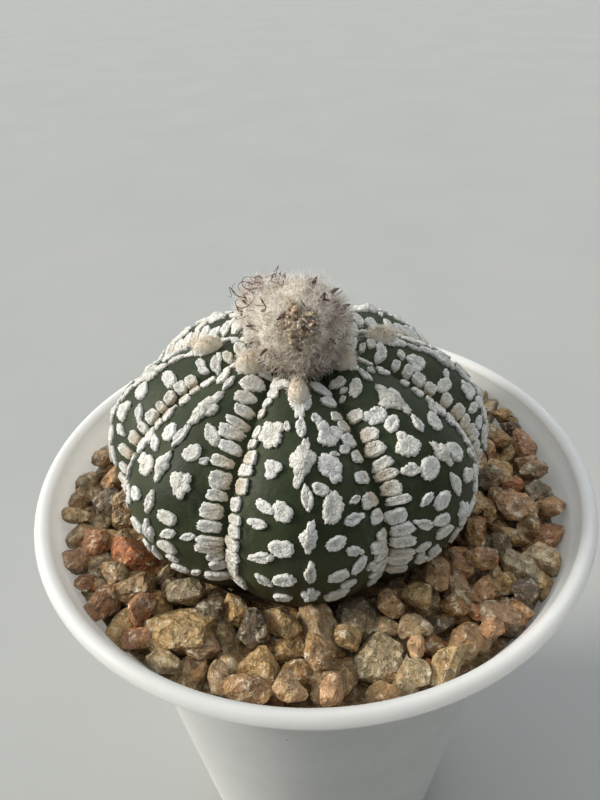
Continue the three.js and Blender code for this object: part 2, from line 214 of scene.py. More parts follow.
def catmull_rom(points, steps=200):
    share = np.linspace(0, 1, steps, endpoint=False)[:, None]
    padded = np.concatenate([points[:1], points, points[-1:]])
    pieces = []
    for before, start, end, after in zip(padded, points, points[1:], padded[3:]):
        leave, arrive = (end - before) / 2, (after - start) / 2
        cubic = 2 * (start - end) + leave + arrive
        square = 3 * (end - start) - 2 * leave - arrive
        pieces.append(((cubic * share + square) * share + leave) * share + start)
    return np.concatenate([*pieces, points[-1:]])


CREST = catmull_rom(CREST_POINTS)
CREST_ARC = np.concatenate([[0], np.cumsum(np.linalg.norm(np.diff(CREST, axis=0), axis=1))])
CREST_LENGTH = CREST_ARC[-1]
CREST_TANGENT = np.gradient(CREST, CREST_ARC, axis=0)
WIDEST = int(np.argmax(CREST[:, 0]))
SOIL_LINE = np.interp(GRAVEL_LEVEL, CREST[:WIDEST, 1], CREST_ARC[:WIDEST]) / CREST_LENGTH


def crest_radius(level):
    return np.interp(level * CREST_LENGTH, CREST_ARC, CREST[:, 0])


def furrow_depth(level):
    start = 0.7 * SOIL_LINE
    share = np.clip((level - start) / (1 - start), 0, 1)
    return FURROW_DEPTH * np.sin(np.pi * share) ** 0.55


def skin_wave(azimuth, level):
    """Slow unevenness of a grown surface."""
    slow = np.sin(3 * azimuth + 9 * level) + np.sin(5 * azimuth - 14 * level + 2)
    quick = np.sin(11 * azimuth + 23 * level + 1) * np.sin(31 * level + 2 * azimuth)
    return (0.07 * slow + 0.06 * quick) * np.clip(6 * (1 - level), 0, 1)


def skin_points(azimuth, level, lift=0):
    """Points of the skin at azimuths and levels from 0 at the root's tip to 1 at the crown."""
    level = np.clip(level, 0, 1)
    along = level * CREST_LENGTH
    ridge = np.abs(np.cos((azimuth - FRONT_RIB) * RIBS / 2)) ** FURROW_SHARPNESS
    out = lift - furrow_depth(level) * (1 - ridge) + skin_wave(azimuth, level)
    upright = np.interp(along, CREST_ARC, CREST_TANGENT[:, 1])
    outright = np.interp(along, CREST_ARC, CREST_TANGENT[:, 0])
    radius = np.maximum(crest_radius(level) + upright * out, 0)
    height = np.interp(along, CREST_ARC, CREST[:, 1]) - outright * out
    return polar(radius, azimuth, RIM_Z + height) + (PLANT_X, 0, 0)


def level_down(distance):
    """The level at a distance down the crest from the crown."""
    return 1 - distance / CREST_LENGTH


def half_rib(distance):
    """Half a rib's width at such a distance."""
    return crest_radius(level_down(distance)) * RIB_STEP / 2


def turned(flat, tilt):
    return flat @ np.array([[math.cos(tilt), math.sin(tilt)], [-math.sin(tilt), math.cos(tilt)]])


def beside(azimuth, level, offsets, lift=0):
    """Points of the skin at distances across and along a rib from a place."""
    across, along = offsets.T
    return skin_points(azimuth + across / crest_radius(level), level + along / CREST_LENGTH, lift)


def has_areole(rib, row):
    return (rib + row) % 2 == 1


# Procedural materials

class Nodes:
    """The nodes of a material or of the world."""

    def __init__(self, owner):
        owner.use_nodes = True
        self.tree = owner.node_tree

    def feed(self, node, values):
        """Links or sets a node's inputs, and leaves those whose value is None."""
        for name, value in values.items():
            socket = node.inputs[name]
            if isinstance(value, bpy.types.NodeSocket):
                self.tree.links.new(value, socket)
            elif value is not None:
                socket.default_value = (*value, 1) if socket.type == "RGBA" else value

    def node(self, kind, output, inputs, **settings):
        """The wanted output of a new node."""
        node = self.tree.nodes.new("ShaderNode" + kind)
        for setting, value in settings.items():
            setattr(node, setting, value)
        self.feed(node, inputs)
        return node.outputs[output]


class Look(Nodes):
    """A procedural material: nodes in the object's own coordinates around one shader."""

    def __init__(self, name, **constants):
        self.material = bpy.data.materials.new(name)
        super().__init__(self.material)
        self.shader = self.tree.nodes["Principled BSDF"]
        self.place = self.node("TexCoord", "Object", {})
        self.feed(self.shader, {name.replace("_", " "): value for name, value in constants.items()})

    def attribute(self, name):
        return self.node("Attribute", "Fac", {}, attribute_name=name)

    def noise(self, size, detail=3, roughness=0.55, distortion=0, scale=None):
        """Noise whose lumps are about size millimetres across, or longer where scale is below 1."""
        place = self.place
        if scale:
            place = self.node("Mapping", "Vector", {"Vector": place, "Scale": scale})
        return self.node("TexNoise", "Fac", {
            "Vector": place, "Scale": 1 / (size * MM), "Detail": detail, "Roughness": roughness,
            "Distortion": distortion,
        })

    def cells(self, size, output="Distance"):
        return self.node("TexVoronoi", output, {"Vector": self.place, "Scale": 1 / (size * MM)})

    def ramp(self, factor, *stops):
        """A smooth change between (position, colour or grey) stops."""
        output = self.node("ValToRGB", "Color", {"Fac": factor})
        elements = output.node.color_ramp.elements
        while len(elements) < len(stops):
            elements.new(0.5)
        for element, (position, colour) in zip(elements, stops):
            element.position = position
            element.color = (*np.broadcast_to(colour, 3), 1)
        return output

    def mix(self, factor, first, second, blend="MIX"):
        return self.node("Mix", 2, {0: factor, 6: first, 7: second}, data_type="RGBA", blend_type=blend)

    def math(self, operation, first, second):
        return self.node("Math", 0, {0: first, 1: second}, operation=operation)

    def bump(self, height, depth, strength=1, normal=None):
        return self.node("Bump", "Normal", {
            "Height": height, "Distance": depth * MM, "Strength": strength, "Normal": normal,
        })

    def finish(self, colour, normal=None, roughness=None):
        self.feed(self.shader, {"Base Color": colour, "Normal": normal, "Roughness": roughness})
        return self.material


def pot_material():
    look = Look("pot_plastic", Subsurface_Weight=0.8, Subsurface_Scale=8 * MM,
                Subsurface_Radius=(1, 0.95, 0.9))
    cloud = look.noise(14, 4)
    colour = look.ramp(cloud, (0.3, (0.73, 0.73, 0.695)), (0.7, (0.79, 0.79, 0.76)))
    speck = look.ramp(look.cells(3.2), (0.035, 1), (0.06, 0))
    sparse = look.ramp(look.noise(5, 1), (0.56, 0), (0.6, 1))
    dirt = look.math("MULTIPLY", speck, sparse)
    colour = look.mix(dirt, colour, (0.16, 0.13, 0.1))
    scuffs = look.noise(1.2, 5, 0.7, scale=(1, 1, 0.25))
    roughness = look.ramp(scuffs, (0.35, 0.42), (0.75, 0.6))
    normal = look.bump(look.noise(1.6, 3), 0.02, 0.6)
    return look.finish(colour, normal, roughness)


def soil_material():
    look = Look("soil_crumb", Roughness=0.95)
    colour = look.ramp(look.noise(1.5, 6, 0.7), (0.3, (0.02, 0.013, 0.009)), (0.75, (0.12, 0.075, 0.045)))
    return look.finish(colour, look.bump(look.noise(0.9, 6, 0.7), 0.6))


def skin_material():
    look = Look("cactus_skin", Specular_IOR_Level=0.27)
    patchy = look.noise(5, 4)
    deep = look.ramp(patchy, (0.3, (0.016, 0.024, 0.008)), (0.72, (0.037, 0.05, 0.018)))
    edge = look.ramp(look.attribute("share"), (0.45, 0), (0.78, 1), (0.96, 0.1))
    streaks = look.noise(1.3, 4, 0.6, scale=(1.6, 1.6, 0.35))
    pale = look.math("MULTIPLY", edge, look.ramp(streaks, (0.45, 0), (0.75, 0.75)))
    colour = look.mix(pale, deep, (0.1, 0.115, 0.07))
    grain = look.ramp(look.noise(0.16, 2), (0.56, 0), (0.74, 0.42))
    colour = look.mix(grain, colour, (0.11, 0.125, 0.08))
    age = look.ramp(look.attribute("tint"), (0, 0.6), (0.35, 0))
    colour = look.mix(age, colour, (0.1, 0.092, 0.045))
    pits = look.bump(look.cells(0.28), 0.03, 0.5)
    normal = look.bump(look.noise(0.9, 4, 0.6), 0.12, 0.6, pits)
    return look.finish(colour, normal, look.ramp(patchy, (0.3, 0.5), (0.7, 0.66)))


def felt_material():
    look = Look("fleck_felt", Roughness=0.96, Sheen_Weight=0.1, Specular_IOR_Level=0.1)
    tint = look.attribute("tint")
    pale = look.ramp(tint, (0, (0.96, 0.96, 0.93)), (0.5, (0.94, 0.92, 0.84)), (1, (0.72, 0.62, 0.47)))
    # Painted shade: a greyer copy of the felt colour for each fleck's dished middle, sides, root and clefts,
    # broken up by real fibre streaks; the raised edge stays pale.
    painted_shade_grey = look.mix(1, pale, (0.76, 0.75, 0.75), "MULTIPLY")
    fibre = look.noise(0.5, 3, 0.6, 0.8)
    dish_shade_and_fibre = look.math("ADD", look.attribute("share"), look.ramp(fibre, (0.4, 0), (0.6, 0.8)))
    colour = look.mix(look.ramp(dish_shade_and_fibre, (0.1, 0), (0.9, 1)), painted_shade_grey, pale)
    matted = look.bump(fibre, 0.46)
    return look.finish(colour, look.bump(look.noise(0.24, 2, 0.6), 0.17, 1, matted))


def areole_material():
    look = Look("areole_wool", Roughness=0.9, Sheen_Weight=0.2, Specular_IOR_Level=0.15)
    tip = look.ramp(look.attribute("tint"), (0, (0.64, 0.5, 0.35)), (1, (0.76, 0.65, 0.51)))
    fibre = look.noise(0.3, 4, 0.7, 0.6)
    worn = look.math("ADD", look.attribute("share"), look.ramp(fibre, (0.3, -0.2), (0.7, 0.2)))
    colour = look.mix(look.ramp(worn, (0.45, 0), (1, 0.85)), (0.86, 0.79, 0.68), tip)
    return look.finish(colour, look.bump(fibre, 0.12, 0.8))


def wool_material():
    look = Look("bud_wool", Roughness=0.85, Specular_IOR_Level=0.2, Subsurface_Weight=0.7,
                Subsurface_Scale=1.5 * MM, Subsurface_Radius=(1, 0.9, 0.8))
    tint = look.attribute("tint")
    tip = look.ramp(tint, (0, (1, 0.94, 0.75)), (0.45, (0.98, 0.86, 0.66)), (1, (0.56, 0.35, 0.25)))
    # Painted shade: each hair darkens a little towards its root, where the hairs shade one another.
    root = look.ramp(look.attribute("share"), (0, 0.15), (0.4, 0))
    return look.finish(look.mix(root, tip, (0.66, 0.54, 0.45)))


def core_material():
    look = Look("wool_core", Roughness=0.95)
    fibre = look.noise(0.6, 5, 0.7, 1.2)
    pale = look.ramp(fibre, (0.34, (0.66, 0.54, 0.44)), (0.52, (0.97, 0.91, 0.8)))
    stain = look.ramp(look.noise(3, 3), (0.54, 0), (0.7, 0.8))
    colour = look.mix(stain, pale, (0.33, 0.22, 0.19))
    return look.finish(colour, look.bump(fibre, 0.35))


def bristle_material():
    look = Look("dark_bristle", Roughness=0.6)
    shade = look.ramp(look.attribute("share"), (0, (0.33, 0.22, 0.16)), (0.35, (0.13, 0.055, 0.045)),
                      (1, (0.06, 0.03, 0.035)))
    colour = look.mix(look.ramp(look.noise(0.5, 3), (0.45, 0), (0.75, 0.35)), shade, (0.28, 0.17, 0.14))
    return look.finish(colour, look.bump(look.noise(0.2, 3), 0.05))


def petal_material():
    look = Look("dried_petal", Roughness=0.75)
    colour = look.ramp(look.attribute("tint"), (0, (0.9, 0.64, 0.47)), (0.45, (0.94, 0.77, 0.6)),
                       (0.75, (0.84, 0.71, 0.46)), (1, (0.96, 0.9, 0.8)))
    blotch = look.noise(0.8, 5, 0.65)
    colour = look.mix(look.ramp(blotch, (0.52, 0), (0.7, 0.6)), colour, (0.42, 0.24, 0.17))
    veins = look.noise(0.3, 3, 0.6, scale=(3, 3, 0.6))
    return look.finish(colour, look.bump(veins, 0.14, 0.8))


def granite_material():
    look = Look("granite_grit", Subsurface_Weight=0.1, Subsurface_Scale=1.2 * MM)
    tint = look.attribute("tint")
    body = look.ramp(
        tint, (0, (0.33, 0.19, 0.07)), (0.14, (0.62, 0.44, 0.21)), (0.28, (0.5, 0.43, 0.28)),
        (0.42, (0.68, 0.41, 0.23)), (0.55, (0.42, 0.29, 0.15)), (0.68, (0.74, 0.59, 0.38)),
        (0.8, (0.55, 0.2, 0.07)), (0.9, (0.42, 0.37, 0.26)), (1, (0.15, 0.12, 0.09)),
    )
    stain = look.ramp(look.noise(3.2, 5, 0.65, 0.5), (0.52, 0), (0.7, 0.6))
    body = look.mix(stain, body, (0.52, 0.28, 0.09))
    crystal = look.ramp(look.cells(1.3, "Color"), (0.1, 0.35), (0.9, 1))
    body = look.mix(0.85, body, crystal, "MULTIPLY")
    body = look.mix(1, body, (1.1, 1.01, 0.89), "MULTIPLY")
    rough = look.noise(1.3, 4, 0.65, 0.5)
    quartz = look.ramp(rough, (0.55, 0), (0.66, 0.75))
    body = look.mix(quartz, body, (0.92, 0.81, 0.61))
    pits = look.ramp(look.noise(1.3, 6, 0.75), (0.36, 0.7), (0.44, 0))
    body = look.mix(pits, body, (0.12, 0.06, 0.025))
    mica = look.ramp(look.noise(0.5, 3, 0.7), (0.3, 0.8), (0.36, 0))
    body = look.mix(mica, body, (0.05, 0.04, 0.03))
    shine = look.ramp(look.cells(0.8, "Color"), (0.35, 0.12), (0.7, 0.55))
    facets = look.bump(look.cells(1.6), 0.7, 0.8)
    normal = look.bump(rough, 0.9, 1, facets)
    return look.finish(body, look.bump(look.noise(0.5, 2, 0.6), 0.25, 1, normal), shine)


def floor_material():
    look = Look("pale_floor", Roughness=0.7)
    cloud = look.noise(90, 3)
    return look.finish(look.ramp(cloud, (0.3, (0.395, 0.405, 0.395)), (0.7, (0.425, 0.43, 0.415))))


# Camera, floor and light

def add_camera():
    data = bpy.data.cameras.new("photo_camera")
    data.lens, data.sensor_width, data.clip_start = LENS, SENSOR, 5 * MM
    camera = add_object("photo_camera", data)
    camera.matrix_world = (
        Matrix.Translation(Vector((0, -CAMERA_BACK, CAMERA_HEIGHT)) * MM)
        @ Matrix.Rotation(-CAMERA_YAW, 4, "Z") @ Matrix.Rotation(math.pi / 2 - CAMERA_PITCH, 4, "X")
        @ Matrix.Rotation(CAMERA_ROLL, 4, "Z")
    )
    bpy.context.scene.camera = camera


def add_floor():
    half = 6000 * MM
    corners = [(x * half, y * half, 0) for x, y in ((-1, -1), (1, -1), (1, 1), (-1, 1))]
    mesh = bpy.data.meshes.new("floor")
    mesh.from_pydata(corners, [], [(0, 1, 2, 3)])
    mesh.materials.append(floor_material())
    add_object("floor", mesh)


def add_sky():
    """Pale light, strongest from above and behind the plant."""
    world = bpy.data.worlds.new("studio")
    bpy.context.scene.world = world
    sky = Nodes(world)
    direction = sky.node("TexCoord", "Generated", {})
    toward = sky.node("VectorMath", "Value", {0: direction, 1: BRIGHT_SKY}, operation="DOT_PRODUCT")
    darkest, brightest, low, high = SKY_RANGE
    strength = sky.node("MapRange", 0, {0: toward, 1: darkest, 2: brightest, 3: low, 4: high},
                        interpolation_type="SMOOTHSTEP")
    sky.feed(sky.tree.nodes["Background"], {"Color": (0.93, 0.97, 1.0), "Strength": strength})


def add_light():
    bpy.context.scene.view_settings.view_transform = "Standard"
    add_sky()
    data = bpy.data.lights.new("key", "SUN")
    data.energy, data.angle = SUN_STRENGTH, SUN_SPREAD
    data.color = (1.0, 0.95, 0.86)
    add_object("key", data).rotation_euler = TO_SUN.to_track_quat("Z", "Y").to_euler()


# Pot

def wall_radius(depth):
    slope = (WAIST_RADIUS - BASE_RADIUS) / (RIM_Z - WAIST_DEPTH)
    cone = WAIST_RADIUS + slope * (WAIST_DEPTH - depth)
    share = np.minimum(depth / WAIST_DEPTH, 1)
    return cone + FLARE * (1 - share ** FLARE_POWER)


def arc(centre, radius, start, end, steps, squareness=2):
    turns = np.radians(np.linspace(start, end, steps))
    sides = polar(1, turns, 0)[:, :2]
    reach = radius * (np.abs(sides) ** squareness).sum(1) ** (-1 / squareness)
    return (centre + reach[:, None] * sides).tolist()


def pot_profile():
    bead = RIM_BEAD / 2
    depths = np.concatenate([
        np.linspace(RIM_Z - FOOT_ROUND, WAIST_DEPTH, 14, endpoint=False),
        np.linspace(WAIST_DEPTH, 0.8 * RIM_BEAD, 16),
    ])
    outer = [(wall_radius(depth), RIM_Z - depth) for depth in depths]
    foot = arc((BASE_RADIUS - FOOT_ROUND, FOOT_ROUND), FOOT_ROUND, -90, -8, 7)
    rim = arc((RIM_RADIUS - bead, RIM_Z), bead, -48, 205, 26, 1.7)
    floor_depth = RIM_Z - POT_FLOOR
    inner_depths = [*depths[:0:-1], floor_depth - 1, floor_depth]
    inner = [(wall_radius(depth) - POT_WALL, RIM_Z - depth) for depth in inner_depths]
    return [(8, 0), (20, 0), *foot, *outer, *rim, *inner, (20, POT_FLOOR), (8, POT_FLOOR)]


def make_pot():
    profile = np.array(pot_profile())
    radius, height = profile[:, :1], profile[:, 1:]
    around, sides = 192, 24
    turns = circle(around)
    out_of_round = 1 + 0.0012 * np.sin(2 * turns + 0.6) * height / POT_HEIGHT
    rings = polar(radius * out_of_round, turns, height).reshape(-1, 3)
    pile = Pile()
    pile.add(np.concatenate([rings, [(0, 0, 0), (0, 0, POT_FLOOR)]]), capped_faces(len(profile), around))
    pot = pile.build("pot_shell", pot_material(), "pot_plastic", ["pot"])
    drains = Pile()
    for centre in polar(DRAIN_CIRCLE, circle(DRAIN_COUNT), 0):
        ends = [centre + polar(DRAIN_RADIUS, circle(sides), z) for z in (-2 * POT_FLOOR, 2 * POT_FLOOR)]
        caps = [np.arange(sides)[::-1][None], sides + np.arange(sides)[None]]
        drains.add(np.concatenate(ends), [grid_faces(2, sides), *caps])
    cutter = drains.build("drain_cutter", pot.data.materials[0], "pot_plastic")
    cut = pot.modifiers.new("drains", "BOOLEAN")
    cut.operation, cut.object, cut.solver = "DIFFERENCE", cutter, "EXACT"
    drilled = bpy.data.meshes.new_from_object(pot.evaluated_get(bpy.context.evaluated_depsgraph_get()))
    pot.modifiers.clear()
    pot.data = drilled
    bpy.data.objects.remove(cutter)


# Plant

def make_skin():
    around = RIBS * 40
    shown_from = SOIL_LINE * 0.9
    buried = np.linspace(0, shown_from, 14, endpoint=False)[1:]
    levels = np.concatenate([buried, np.linspace(shown_from, 1, 172, endpoint=False)])
    turns = circle(around)
    points = skin_points(FRONT_RIB + turns, levels[:, None]).reshape(-1, 3)
    tips = skin_points(np.zeros(2), np.array([0, 1]))
    ribs = turns / RIB_STEP
    furrow = np.append(np.tile(2 * np.abs(ribs - np.round(ribs)), len(levels)), [0, 0])
    above_soil = np.append(np.repeat((levels - SOIL_LINE) / (1 - SOIL_LINE), around), [0, 1])
    faces = capped_faces(len(levels), around)
    pile = Pile()
    pile.add(np.concatenate([points, tips]), faces, np.clip(above_soil, 0, 1), furrow)
    pile.build("cactus_skin", skin_material(), "cactus_skin", ["cactus_body"])


# Outlines of the flecks as joined discs: places aside and along, and radius, in half sizes.
# A single number is the squareness of a box
OUTLINES = {
    "oval": 2.1,
    "heart": ((0, -0.12, 0.7), (-0.43, 0.34, 0.52), (0.45, 0.3, 0.54)),
    "fan": ((0, -0.26, 0.72), (-0.56, 0.24, 0.4), (-0.05, 0.54, 0.42), (0.56, 0.2, 0.42)),
    "double": ((-0.14, -0.1, 0.84), (0.6, 0.42, 0.44)),
    "leaf": ((0, -0.1, 0.74), (0.06, 0.56, 0.4), (-0.04, -0.62, 0.36)),
    "star": ((0, 0, 0.64), (0.04, 0.64, 0.34), (0.5, 0.12, 0.32), (-0.52, 0.06, 0.3), (-0.02, -0.7, 0.3)),
    "bar": 3.4,
    "nub": 2.0,
}
# Sections from a fleck's middle out and down to its root: reach, height and a share for colour. On felt a low
# share is painted shade, greyer in the dished middle, down the sides and at the root, with the raised edge
# palest; on the woolly areoles a high share brings in the tan tip colour
FELT_RINGS = ((0.3, 0.8, 0.15), (0.52, 0.88, 0.3), (0.74, 0.98, 0.65), (0.9, 0.92, 1),
              (1.02, 0.55, 0.9), (1.03, 0.16, 0.45), (0.93, -0.7, 0))
NUB_RINGS = ((0.3, 0.97, 0.95), (0.54, 0.87, 0.8), (0.75, 0.7, 0.55), (0.9, 0.46, 0.3),
             (1, 0.2, 0.1), (1, 0, 0), (0.92, -0.2, 0))


def outline_reach(rng, outline, turns, rag):
    """How far a torn outline reaches in each direction from its middle."""
    cos, sin = np.cos(turns), np.sin(turns)
    if isinstance(outline, float):
        reach = (np.abs(cos) ** outline + np.abs(sin) ** outline) ** (-1 / outline)
    else:
        reach = np.full(len(turns), 0.3)
        for aside, along, radius in outline:
            ahead = aside * cos + along * sin
            chord = radius ** 2 - (aside * sin - along * cos) ** 2
            reach = np.maximum(reach, np.where(chord > 0, ahead + np.sqrt(np.maximum(chord, 0)), 0))
    for waves, share in ((1, 3.5), (3, 1.6), (5, 0.8)):
        reach = reach * (1 + share * rag * np.sin(waves * turns + rng.uniform(0, 2 * np.pi)))
    return reach


def grooves(flat, outline):
    """1 where two joined discs of an outline meet, falling to 0 away from there."""
    if isinstance(outline, float):
        return 0
    discs = np.array(outline)
    near = np.sort(np.linalg.norm(flat[:, None] - discs[:, :2], axis=2) / discs[:, 2], axis=1)
    return np.exp(-((near[:, 1] - near[:, 0]) / 0.13) ** 2)


def add_fleck(pile, rng, azimuth, level, across, along, height, tilt, kind, tint, rings=FELT_RINGS,
              mound=0, rag=0.028, lean=0):
    """One raised felt fleck, bent to the skin, as rings from its middle out and down."""
    outline = OUTLINES[kind]
    if not isinstance(outline, float):
        outline = np.array(outline) + rng.normal(0, 0.05, (len(outline), 3)) * (1, 1, 0.5)
    sides = int(np.clip(14 * (across + along), 28, 66))
    turns = circle(sides)
    edge = polar(outline_reach(rng, outline, turns, rag), turns, 0)[:, :2]
    slope = rng.uniform(-0.15, 0.15, 2)
    middle = 0.74 if rings is FELT_RINGS else 1
    flat, lifts, shares = [np.zeros((1, 2))], [[middle * height]], [[rings[0][2]]]
    for spread, rise, share in rings:
        torn = rng.uniform(-4.5 * rag, 4.5 * rag, (sides, 1)) if spread > 0.85 and rise > 0 else 0
        flat.append(edge * spread * (1 + torn))
        rough = rng.normal(0, 2.5 * rag, sides) if rise > 0.3 else 0
        lifts.append(height * (rise + rough) + np.zeros(sides))
        shares.append(np.full(sides, share))
    flat, lifts = np.concatenate(flat), np.concatenate(lifts)
    cleft = grooves(flat, outline) * (lifts > 0)
    lifts += np.where(lifts > 0, flat @ slope * height, 0) + mound * np.exp(-(flat ** 2 @ (5.5, 7.5)))
    lifts -= 0.3 * height * cleft
    points = beside(azimuth, level, turned(flat * (across, along), tilt), lifts)
    under = skin_points(azimuth, level, -0.6 * height)[None]
    faces = [
        fan_faces(1, sides, 0), grid_faces(len(rings), sides)[:, ::-1] + 1,
        fan_faces(1 + (len(rings) - 1) * sides, sides, len(points))[:, ::-1],
    ]
    tints = np.append(np.clip(tint + lean * flat[:, 0], 0, 1), tint)
    # Painted shade: felt is greyer in the clefts where two discs meet.
    shares = np.append(np.clip(np.concatenate(shares) - 0.6 * cleft, 0, 1), 0)
    pile.add(np.concatenate([points, under]), faces, tints, shares)


def near_bud(azimuth, level):
    point = skin_points(azimuth, level)
    return any(np.linalg.norm(point - bud.centre) < bud.radius + 0.4 for bud in (FRONT_BUD, REAR_BUD))


def nub_row(rib):
    return 0 if has_areole(rib, 0) else 1


def row_down(row):
    return FIRST_ROW + row * ROW_PITCH


class Felt:
    """Flecks on the skin, kept apart from each other and from the buds."""

    def __init__(self, rng):
        self.rng = rng
        self.piles = [Pile() for _ in range(RIBS)]
        self.taken = np.zeros((0, 5))

    def put(self, rib, aside, down, across, along, kind, tilt=0, height=0.5, mound=0, tint=None, lean=0):
        level = level_down(down)
        azimuth = FRONT_RIB + rib * RIB_STEP + aside / crest_radius(level)
        if near_bud(azimuth, level):
            return
        reach = 0.88 * min(across, along)
        ends = np.array([-1, 0, 1])[:, None] * (across - reach, along - reach)
        places = beside(azimuth, level, turned(ends, tilt))
        others = self.taken[self.taken[:, 4] == 0] if kind == "bar" else self.taken
        room = np.linalg.norm(others[:, None, :3] - places, axis=2) - others[:, 3:4]
        fit = min(1, room.min(initial=99) / reach)
        if fit < 0.6:
            return
        spots = [(*place, reach * fit, kind == "bar") for place in places]
        self.taken = np.vstack([self.taken, spots])
        tint = self.rng.uniform(0, 0.5) if tint is None else tint
        add_fleck(self.piles[rib], self.rng, azimuth, level, across * fit, along * fit, height, tilt,
                  kind, tint, mound=mound, lean=lean)

    def put_away(self, rib, aside, down, across, along, kind):
        """A fleck whose outer end points away from the nearest areole."""
        areoles = [row_down(row) for row in range(-1, ROW_COUNT + 1) if has_areole(rib, row)]
        nearest = min(areoles, key=lambda place: abs(down - place))
        tilt = math.atan2(-aside, nearest - down) + self.rng.normal(0, 0.25)
        self.put(rib, aside, down, across, along, kind, tilt)


def crest_flecks(felt, rng, rib):
    """Areoles down the crest, with slim flecks between them."""
    for row in range(ROW_COUNT):
        down = row_down(row) + rng.uniform(-0.2, 0.2)
        shrink = min(1, half_rib(down) / 7.5)
        drift, tilt = rng.uniform(-0.3, 0.3), rng.uniform(-0.2, 0.2)
        if row == nub_row(rib):
            felt.put(rib, 0, down + 0.6, 1.8, 2.6, "star", height=0.45)
        elif has_areole(rib, row) and row <= nub_row(rib) + 2:
            felt.put(rib, drift, down, 1.9, 3.0, "star", tilt, 0.55, 0.75)
        elif has_areole(rib, row):
            felt.put(rib, drift, down, 1.4, 2.0, "star", tilt, 0.5, 0.6)
        else:
            felt.put(rib, drift, down, shrink, 1.8 * shrink, "leaf", tilt)


def side_flecks(felt, rng, rib):
    """A heart, a fan or two ovals on each side of every row, and small ovals near the foot."""
    for row in range(ROW_COUNT):
        for side in (-1, 1):
            down = row_down(row) + 1.2 + rng.uniform(-0.6, 0.6)
            half = half_rib(down)
            size = min(1, half / 6.5) * rng.uniform(0.82, 1.1)
            aside = side * (min(3.5, 0.52 * half) + rng.uniform(-0.3, 0.3))
            if row > 4:
                felt.put(rib, aside, down, 1.55 * size, 1.05 * size, "oval", rng.uniform(-0.4, 0.4))
            elif half > WIDE_HALF and rng.random() < 0.35:
                felt.put_away(rib, 0.8 * aside, down, 1.2 * size, 1.5 * size, "oval")
                felt.put_away(rib, 1.5 * aside, down - 0.4, 1.05 * size, 2.05 * size, "oval")
            elif half > 3:
                kind = rng.choice(["heart", "fan", "double", "oval", "heart"])
                across = 1.35 if kind == "oval" else 1.85
                felt.put_away(rib, aside, down, across * size, 2.05 * size, kind)
            if half > WIDE_HALF and row < 6:
                aside = side * (6.3 + rng.uniform(-0.5, 0.5))
                felt.put_away(rib, aside, down + 1.8, 1.1 * size, 1.7 * size, "leaf")


def small_flecks(felt, rng, rib):
    """Small flecks in what room is left on a rib's flanks."""
    for size in (1.05,) * 16 + (0.8,) * 30:
        down = rng.uniform(12, 44)
        half = half_rib(down)
        aside = rng.choice([-1, 1]) * rng.uniform(0.15, 0.85) * half
        across, along = rng.uniform(0.75, 1.15) * size, rng.uniform(1.1, 1.7) * size
        felt.put_away(rib, aside, down, across, along, rng.choice(["oval", "leaf"]))


def crown_flecks(felt, rng, rib):
    """Ovals that fill the ribs round the crown, large ones first."""
    for size in (1.0, 0.95, 0.85, 0.7, 0.55):
        for _ in range(16):
            down = rng.uniform(7, FIRST_BAR + 1)
            half = half_rib(down)
            across, along = rng.uniform(1.5, 2.05) * size, rng.uniform(0.95, 1.35) * size
            aside = rng.choice([-1, 1]) * min(rng.uniform(0.3, 0.9) * half, half - 0.8 * across)
            felt.put(rib, aside, down, across, along, rng.choice(["oval", "oval", "leaf", "heart"]),
                     rng.normal(0, 0.55), tint=rng.uniform(0.1, 0.6))


def furrow_bars(felt, rng, rib):
    """Felt bars stacked along both furrows of a rib, wide ones on every other rib."""
    for side in (-1, 1):
        down = FIRST_BAR + rng.uniform(0, 1.5)
        while down < LAST_BAR:
            half = half_rib(down)
            wide = 1 if rib % 2 else 0.55 + 0.4 * (down / LAST_BAR) ** 2
            share = min(1, 0.45 + half / 16)
            across = rng.uniform(1.1, 1.75) * share * wide
            along = rng.uniform(0.65, 1.15) * share
            aside = side * (half - across * 0.96 - rng.uniform(0, 0.4))
            # Each bar's tint runs browner towards its furrow side.
            felt.put(rib, aside, down + along, across, along, "bar", rng.uniform(-0.16, 0.16), 0.6,
                     tint=rng.uniform(0.2, 0.8), lean=0.35 * side)
            down += 2 * along + rng.choice([0.1, 0.25, 0.6, 1.3])


def make_felt():
    material = felt_material()
    rng = np.random.default_rng(404)
    felt = Felt(rng)
    for place_flecks in (crest_flecks, crown_flecks, furrow_bars, side_flecks, small_flecks):
        for rib in range(RIBS):
            place_flecks(felt, rng, rib)
    for rib, pile in enumerate(felt.piles):
        pile.build(f"felt_rib_{rib + 1}", material, "felt_fleck")


def nub_place(rib):
    """The level and size of the woolly areole nearest the crown on a rib."""
    if nub_row(rib):
        return level_down(row_down(1) - 0.5), NUB_SIZE
    return level_down(row_down(0) + 0.8), BIG_NUB_SIZE


def make_nubs():
    rng = np.random.default_rng(31)
    pile = Pile()
    for rib in range(RIBS):
        level, size = nub_place(rib)
        add_fleck(pile, rng, FRONT_RIB + rib * RIB_STEP, level, *size, 0, "nub", rng.uniform(0, 1),
                  NUB_RINGS, rag=0.012)
    pile.build("areole_nubs", areole_material(), "bud_wool")


# Wool and bristles

